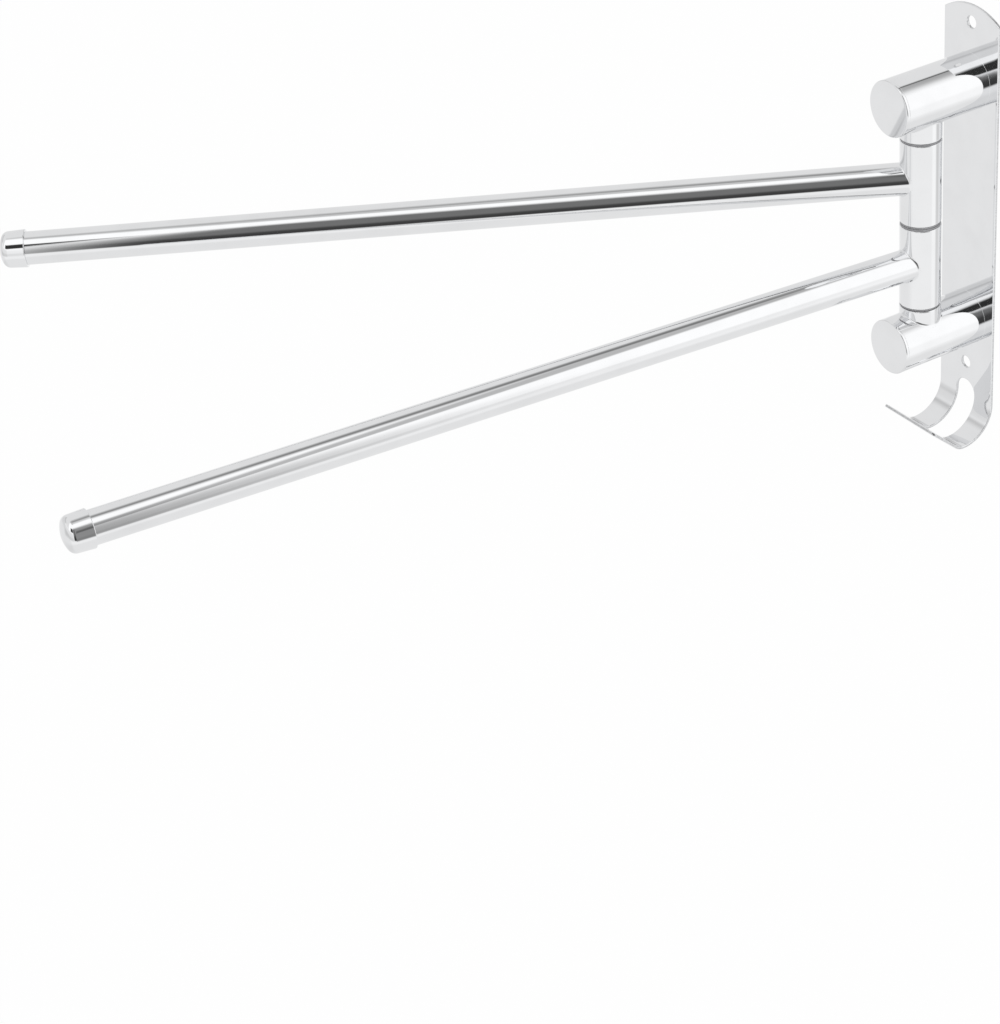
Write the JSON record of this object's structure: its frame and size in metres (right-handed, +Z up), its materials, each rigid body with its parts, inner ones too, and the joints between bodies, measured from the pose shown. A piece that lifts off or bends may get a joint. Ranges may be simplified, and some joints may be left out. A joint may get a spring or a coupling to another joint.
{
  "type": "swing arm towel bar",
  "caption": "Wall-mounted swing arm towel bar: a narrow plate with a curled, slotted hook holds a pivot post between bosses, and capped round rails swing on it.",
  "frame": {"origin": "on the plate's back face, midway between the centres of the wall screw holes", "axes": "+Z up along the plate; +Y into the wall, square to the plate; +X along the wall, to the right as seen from the room"},
  "size_m": [0.1989, 0.3721, 0.1787],
  "materials": {
    "polished_steel": "mirror polished",
    "pivot_steel": "machined",
    "bush_plastic": "moulded, black"
  },
  "bodies": {
    "bracket": {"wall_plate": "polished_steel", "upper_boss": "polished_steel", "lower_boss": "polished_steel", "upper_boss_cap": "polished_steel", "lower_boss_cap": "polished_steel", "upper_collar": "polished_steel", "lower_collar": "polished_steel", "pivot_rod": "pivot_steel", "upper_saddle_washer": "pivot_steel", "lower_saddle_washer": "pivot_steel", "upper_pivot_screw": "pivot_steel", "lower_pivot_screw": "pivot_steel"},
    "upper_arm": {"upper_sleeve": "polished_steel", "upper_sleeve_top_bush": "bush_plastic", "upper_sleeve_bottom_bush": "bush_plastic", "upper_arm_tube": "polished_steel", "upper_arm_end_cap": "polished_steel"},
    "lower_arm": {"lower_sleeve": "polished_steel", "lower_sleeve_top_bush": "bush_plastic", "lower_sleeve_bottom_bush": "bush_plastic", "lower_arm_tube": "polished_steel", "lower_arm_end_cap": "polished_steel"}
  },
  "joints": [
    {"name": "upper_arm_swing", "type": "hinge", "parent": "bracket", "child": "upper_arm", "pos_m": [0, -0.0248, 0.0157], "axis": [0, 0, 1], "range_deg": [-59.1, 120.9]},
    {"name": "lower_arm_swing", "type": "hinge", "parent": "bracket", "child": "lower_arm", "pos_m": [0, -0.0248, -0.0195], "axis": [0, 0, 1], "range_deg": [-84.8, 95.2]}
  ]
}
